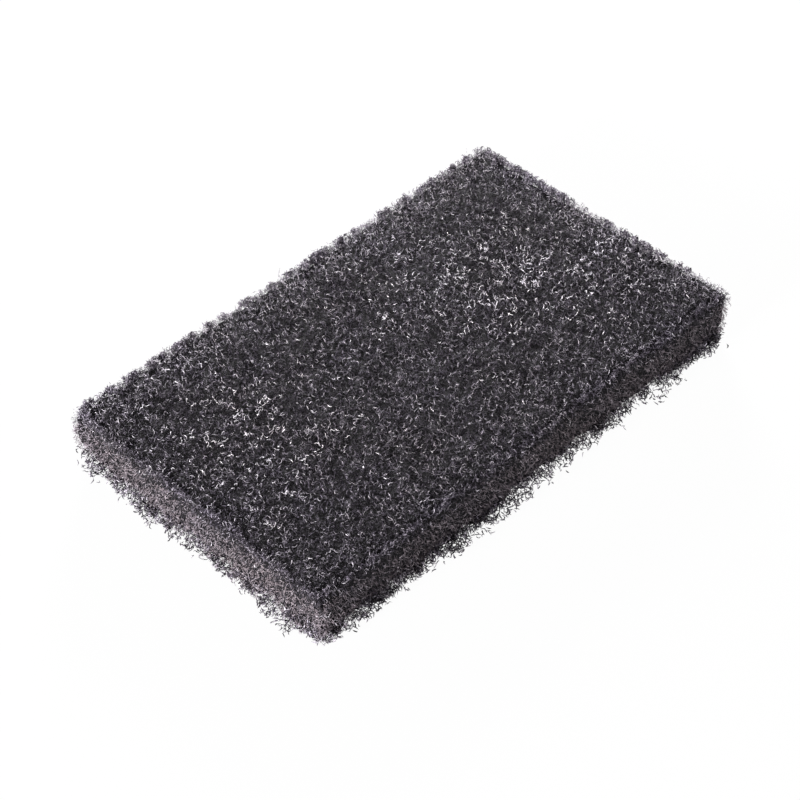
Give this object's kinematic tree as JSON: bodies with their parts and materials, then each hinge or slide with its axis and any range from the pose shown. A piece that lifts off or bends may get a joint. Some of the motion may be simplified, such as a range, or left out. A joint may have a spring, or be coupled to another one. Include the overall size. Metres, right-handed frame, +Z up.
{
  "type": "scouring pad",
  "caption": "Thick rectangular hand scouring pad of dark bonded fibre web, with a rough open surface and ragged cut edges, for scrubbing by hand.",
  "frame": {"origin": "middle of the underside, on the surface that the pad lies on", "axes": "+X along the length, +Y along the width, +Z up through the thickness"},
  "size_m": [0.1519, 0.09, 0.018],
  "materials": {
    "fibre_web": "matte charcoal nylon fibre web bonded with dark resin, with a few paler worn fibres"
  },
  "bodies": {
    "root": {"scouring_pad": "fibre_web"}
  },
  "joints": []
}
